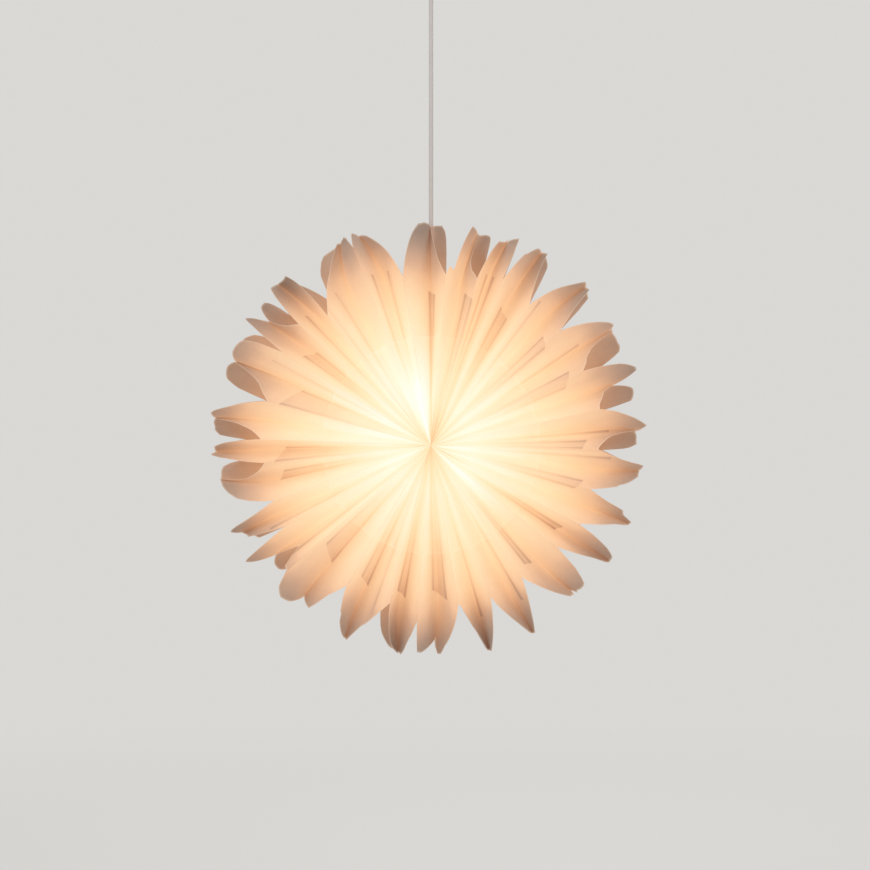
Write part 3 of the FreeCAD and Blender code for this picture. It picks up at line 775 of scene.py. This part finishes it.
def make_cord(material):
    low = CORD_LOW * MM
    high = CORD_HIGH * MM
    curve = bpy.data.curves.new("lamp_cord", "CURVE")
    curve.dimensions = "3D"
    line = curve.splines.new("NURBS")
    route = [(0, 0, low), (0, 0, -300 * MM), (0, 0, -150 * MM), (0, 0, high)]
    line.points.add(len(route) - 1)
    for point, spot in zip(line.points, route):
        point.co = (*spot, 1)
    line.order_u = 3
    line.use_endpoint_u = True
    curve.bevel_depth = CORD_DIAMETER / 2 * MM
    curve.bevel_resolution = 6
    curve.resolution_u = 16
    curve.materials.append(material)
    item = new_object("lamp_cord", curve)
    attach(item, "root")
    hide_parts("cord")


# Lamp and ceiling rose


def metal(name, colour, roughness):
    material, shader = new_material(name)
    g = Graph(material)
    where = g.coordinates()
    fine = g.noise(g.stretched(where, (1, 1, 6)), 900, 3.0)
    broad = g.noise(where, 60, 2.0)
    g.put(shader.inputs["Base Color"], g.mix(broad, shaded(colour, 0.85), shaded(colour, 1)))
    shader.inputs["Metallic"].default_value = 1.0
    g.put(shader.inputs["Roughness"], g.ramp_between(fine, 0.3, 0.7, roughness - 0.08, roughness + 0.08))
    g.put(shader.inputs["Normal"], g.bump(fine, 0.2, 0.0001))
    return material


def bulb_material():
    material, shader = new_material("bulb_glass")
    g = Graph(material)
    where = g.coordinates()
    soft = g.noise(where, 40, 2.0)
    g.put(shader.inputs["Base Color"], g.mix(soft, (*srgb(250, 240, 222), 1), (*srgb(255, 249, 236), 1)))
    g.put(shader.inputs["Emission Color"], g.mix(soft, (*srgb(255, 222, 170), 1), (*srgb(255, 240, 205), 1)))
    shader.inputs["Emission Strength"].default_value = 1.0
    shader.inputs["Roughness"].default_value = 0.25
    return material


def card_material():
    material, shader = new_material("washer_card")
    g = Graph(material)
    where = g.coordinates()
    fibres = g.noise(where, 700, 4.0)
    g.put(shader.inputs["Base Color"], g.mix(fibres, (*srgb(170, 145, 112), 1), (*srgb(200, 176, 142), 1)))
    shader.inputs["Roughness"].default_value = 0.9
    g.put(shader.inputs["Normal"], g.bump(fibres, 0.4, 0.0003))
    return material


def dress_nodes():
    white = plastic("holder_plastic", srgb(236, 233, 226), 500, 0.38)
    cream = plastic("carrier_plastic", srgb(222, 216, 200), 400, 0.6)
    rose = plastic("rose_plastic", srgb(238, 236, 230), 500, 0.35)
    brass = metal("brass", srgb(214, 178, 104), 0.3)
    steel = metal("steel", srgb(186, 186, 184), 0.35)
    chosen = {
        "star_washer": card_material(), "holder_grip": white, "holder_cap": white, "holder_skirt": white,
        "contact_carrier": cream, "terminal_block": cream, "lamp_sleeve": brass, "centre_contact": brass,
        "bulb": bulb_material(), "rose_cup": rose, "rose_grip": rose, "rose_bracket": steel,
        "rose_nipple": steel, "bracket_nut": steel, "rose_nut": steel,
    }
    for name, material in chosen.items():
        for slot in NODES[name].material_slots:
            slot.material = material


# Floor, backdrop and lights. Lengths are in metres here.

BACKDROP = (0.70, 0.69, 0.67)
FLOOR_COLOUR = (0.72, 0.71, 0.69)
FLOOR_HALF_SIZE = 12.0
FLOOR_HEIGHT = -1.45
# The floor's own colour gives way to the backdrop's between these distances
FLOOR_FADE = (1.2, 4.5)
WORLD_COLOUR = (1.0, 0.99, 0.97)
WORLD_STRENGTH = 0.55
# Name, place and power of each lamp, their size and where they point
LAMPS = [("key", (-2.2, -3.0, 1.4), 60), ("fill", (2.8, -2.2, 0.2), 30), ("back", (0.5, 3.0, 1.6), 45)]
LAMP_SIZE = 2.4
LAMP_AIM = (0, 0, -0.5)


def make_stage():
    signs = ((-1, -1), (1, -1), (1, 1), (-1, 1))
    corners = [(x * FLOOR_HALF_SIZE, y * FLOOR_HALF_SIZE, FLOOR_HEIGHT) for x, y in signs]
    mesh = bpy.data.meshes.new("floor")
    mesh.from_pydata(corners, [], [(0, 1, 2, 3)])
    floor = new_object("floor", mesh)
    material, shader = new_material("floor")
    output = shader.outputs[0].links[0].to_node
    g = Graph(material)
    shader.inputs["Base Color"].default_value = (*FLOOR_COLOUR, 1)
    shader.inputs["Roughness"].default_value = 0.9
    reach = g.node("ShaderNodeVectorMath", operation="LENGTH")
    g.put(reach.inputs[0], g.coordinates())
    far = g.ramp_between(reach.outputs["Value"], *FLOOR_FADE)
    glow = g.node("ShaderNodeEmission")
    glow.inputs["Color"].default_value = (*BACKDROP, 1)
    blend = g.mix_shaders(g.math("MULTIPLY", far, g.looked_at()), shader.outputs[0], glow.outputs[0])
    g.put(output.inputs[0], blend)
    mesh.materials.append(material)


def make_world():
    """Light from all round, and the backdrop's colour where the camera, a mirror or glass looks at it."""
    world = bpy.data.worlds.new("world")
    bpy.context.scene.world = world
    world.use_nodes = True
    world.node_tree.nodes.clear()
    g = Graph(world)
    light = g.node("ShaderNodeBackground")
    light.inputs["Color"].default_value = (*WORLD_COLOUR, 1)
    light.inputs["Strength"].default_value = WORLD_STRENGTH
    backdrop = g.node("ShaderNodeBackground")
    backdrop.inputs["Color"].default_value = (*BACKDROP, 1)
    blend = g.mix_shaders(g.looked_at(), light.outputs[0], backdrop.outputs[0])
    g.put(g.node("ShaderNodeOutputWorld").inputs[0], blend)


def make_lamps():
    for name, spot, power in LAMPS:
        data = bpy.data.lights.new(name, "AREA")
        data.size = LAMP_SIZE
        data.energy = power
        item = new_object(name, data)
        item.location = spot
        item.rotation_euler = (Vector(LAMP_AIM) - Vector(spot)).to_track_quat("-Z", "Y").to_euler()


bpy.context.scene.view_settings.view_transform = "Standard"
make_camera()
make_cord(plastic("cord_jacket", srgb(198, 191, 187), 700, 0.45))
make_star(paper_material())
dress_nodes()
make_stage()
make_world()
make_lamps()
